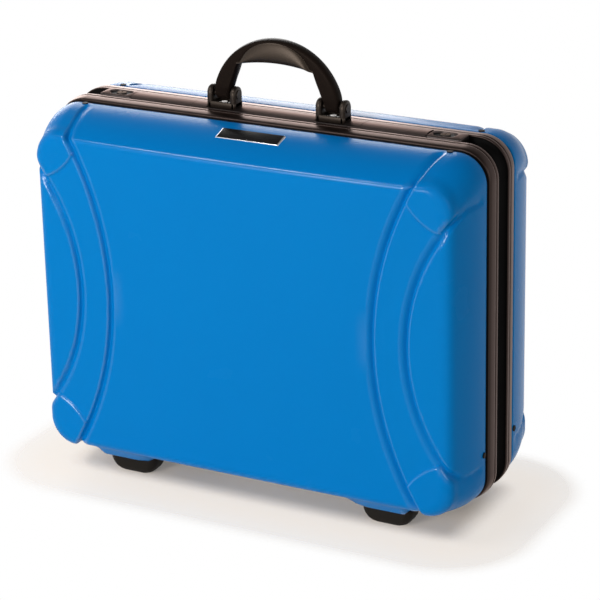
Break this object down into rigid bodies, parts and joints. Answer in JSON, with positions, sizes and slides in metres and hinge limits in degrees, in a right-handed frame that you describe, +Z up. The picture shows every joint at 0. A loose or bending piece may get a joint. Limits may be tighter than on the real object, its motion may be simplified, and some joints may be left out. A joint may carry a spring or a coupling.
{
  "type": "tool case",
  "caption": "Twin-shell blue moulded tool case with a dark aluminium rim, folding handle, lever latches with key-lock buttons and rubber feet, hinged at the bottom edge.",
  "frame": {"origin": "floor level under the middle of the standing closed case", "axes": "+X to the right of the front face, -Y out of the front face, +Z up"},
  "size_m": [0.4762, 0.192, 0.458],
  "materials": {
    "shell_blue": "moulded, semi-gloss",
    "rim_dark": "dark bronze anodised",
    "strip_dark": "dark bronze anodised, satin",
    "bracket_black": "satin black",
    "handle_black": "soft satin",
    "steel": "plain",
    "lock_metal": "polished",
    "rubber_black": "moulded",
    "label_black": "plain plate",
    "rivet_dark": "satin",
    "panel_black": "grained",
    "pocket_black": "grained"
  },
  "bodies": {
    "base_half": {"back_shell": "shell_blue", "back_rim": "rim_dark", "top_strip": "strip_dark", "lock_bezel_left": "strip_dark", "lock_bezel_right": "strip_dark", "handle_bracket_left": "bracket_black", "handle_pin_left": "steel", "latch_pin_left": "steel", "hinge_pin_left": "steel", "hinge_leaf_base_left": "steel", "back_foot_left": "rubber_black", "handle_bracket_right": "bracket_black", "handle_pin_right": "steel", "latch_pin_right": "steel", "hinge_pin_right": "steel", "hinge_leaf_base_right": "steel", "back_foot_right": "rubber_black", "back_rivets": "rivet_dark", "hinge_rivets": "rivet_dark", "bracket_screws": "steel", "back_foot_screws": "steel", "base_divider_long": "panel_black", "base_dividers_short": "panel_black"},
    "lid_half": {"front_shell": "shell_blue", "front_rim": "rim_dark", "label_plate": "label_black", "front_foot_left": "rubber_black", "front_foot_right": "rubber_black", "front_foot_screws": "steel", "hinge_leaf_lid_left": "steel", "hinge_leaf_lid_right": "steel", "latch_keeper_left": "steel", "latch_keeper_right": "steel", "front_rivets": "rivet_dark", "lid_panel": "panel_black", "panel_screws": "steel", "pocket_row_lower": "pocket_black", "pocket_row_upper": "pocket_black"},
    "handle": {"handle_grip": "handle_black", "handle_core": "steel"},
    "latch_left": {"latch_lever_left": "strip_dark"},
    "button_left": {"lock_button_left": "lock_metal"},
    "key_core_left": {"lock_core_left": "lock_metal"},
    "latch_right": {"latch_lever_right": "strip_dark"},
    "button_right": {"lock_button_right": "lock_metal"},
    "key_core_right": {"lock_core_right": "lock_metal"}
  },
  "joints": [
    {"name": "lid_hinge", "type": "hinge", "parent": "base_half", "child": "lid_half", "pos_m": [0, -0.0074, 0.0252], "axis": [1, 0, 0], "range_deg": [0, 105]},
    {"name": "handle_fold", "type": "hinge", "parent": "base_half", "child": "handle", "pos_m": [0, 0, 0.397], "axis": [1, 0, 0], "range_deg": [-90, 90]},
    {"name": "latch_left_lift", "type": "hinge", "parent": "base_half", "child": "latch_left", "pos_m": [-0.1272, 0.0074, 0.3811], "axis": [-1, 0, 0], "range_deg": [0, 80]},
    {"name": "latch_right_lift", "type": "hinge", "parent": "base_half", "child": "latch_right", "pos_m": [0.1272, 0.0074, 0.3811], "axis": [-1, 0, 0], "range_deg": [0, 80]},
    {"name": "button_left_press", "type": "slide", "parent": "base_half", "child": "button_left", "axis": [0, 0, -1], "range_m": [0, 0.002], "stiffness_N_per_m": 400, "springref_m": -0.001},
    {"name": "button_right_press", "type": "slide", "parent": "base_half", "child": "button_right", "axis": [0, 0, -1], "range_m": [0, 0.002], "stiffness_N_per_m": 400, "springref_m": -0.001},
    {"name": "key_left_turn", "type": "hinge", "parent": "button_left", "child": "key_core_left", "pos_m": [-0.17813, 0, 0.3823], "axis": [0, 0, 1], "range_deg": [0, 90]},
    {"name": "key_right_turn", "type": "hinge", "parent": "button_right", "child": "key_core_right", "pos_m": [0.17813, 0, 0.3823], "axis": [0, 0, 1], "range_deg": [0, 90]}
  ]
}
